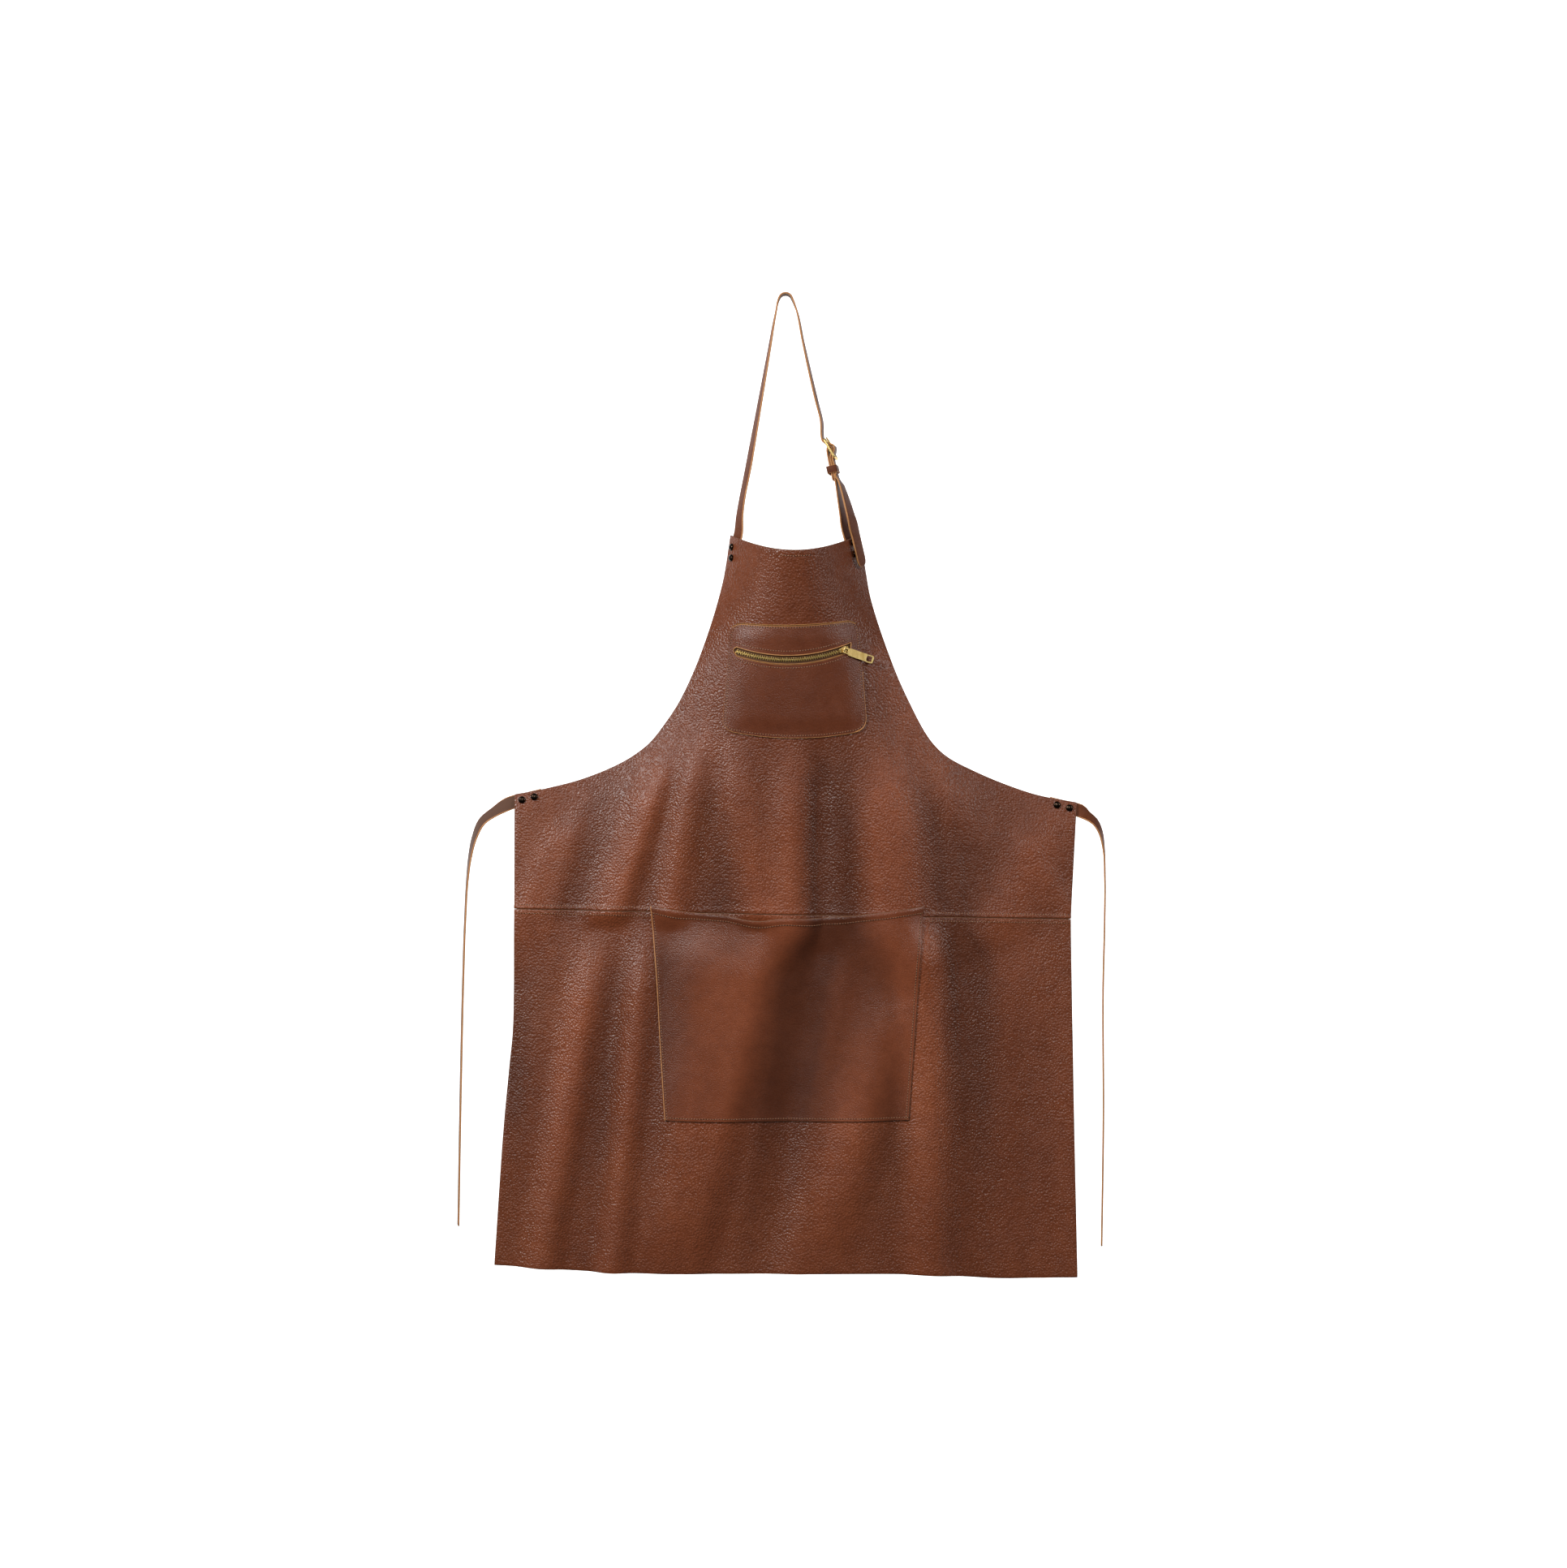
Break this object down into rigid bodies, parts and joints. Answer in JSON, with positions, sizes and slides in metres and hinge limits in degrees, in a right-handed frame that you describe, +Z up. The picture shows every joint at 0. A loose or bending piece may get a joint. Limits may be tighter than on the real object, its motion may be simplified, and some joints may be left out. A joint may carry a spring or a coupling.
{
  "type": "leather work apron",
  "caption": "Full-length brown leather work apron with a buckled neck strap, waist ties, a zipped chest pocket and a front pocket, hung up by its neck strap",
  "frame": {"origin": "the underside of the neck strap at the top of its loop, where the apron hangs", "axes": "+Z up, -Y towards the viewer on the apron's front, +X to the viewer's right"},
  "size_m": [0.7633, 0.0938, 1.1511],
  "materials": {
    "leather": "pebbled cognac brown hide with a soft sheen",
    "pocket_leather": "the same brown hide, smoother, with raw tan edges",
    "strap_leather": "brown strap leather with raw tan edges",
    "zip_tape_cloth": "dark brown woven zip tape",
    "brass": "polished yellow brass",
    "dark_metal": "dark bronze coated rivets"
  },
  "bodies": {
    "apron": {"bib_panel": "leather", "skirt_panel": "leather", "chest_pocket": "pocket_leather", "front_pocket": "pocket_leather", "zip_tape": "zip_tape_cloth", "zip_chain": "brass", "zip_slider": "brass", "neck_strap": "strap_leather", "buckle_strap": "strap_leather", "keeper_loop": "strap_leather", "buckle_frame": "brass", "buckle_prong": "brass", "tie_left": "strap_leather", "tie_right": "strap_leather", "rivet_bib_left_upper": "dark_metal", "rivet_bib_left_lower": "dark_metal", "rivet_bib_right_upper": "dark_metal", "rivet_bib_right_lower": "dark_metal", "rivet_waist_left_outer": "dark_metal", "rivet_waist_left_inner": "dark_metal", "rivet_waist_right_outer": "dark_metal", "rivet_waist_right_inner": "dark_metal"},
    "zip_puller": {"zip_puller": "brass"}
  },
  "joints": [
    {"name": "zip_puller_hinge", "type": "hinge", "parent": "apron", "child": "zip_puller", "pos_m": [0.06752, -0.03828, -0.41711], "axis": [-0.2921, -0.0397, -0.9556], "range_deg": [0, 150]}
  ]
}
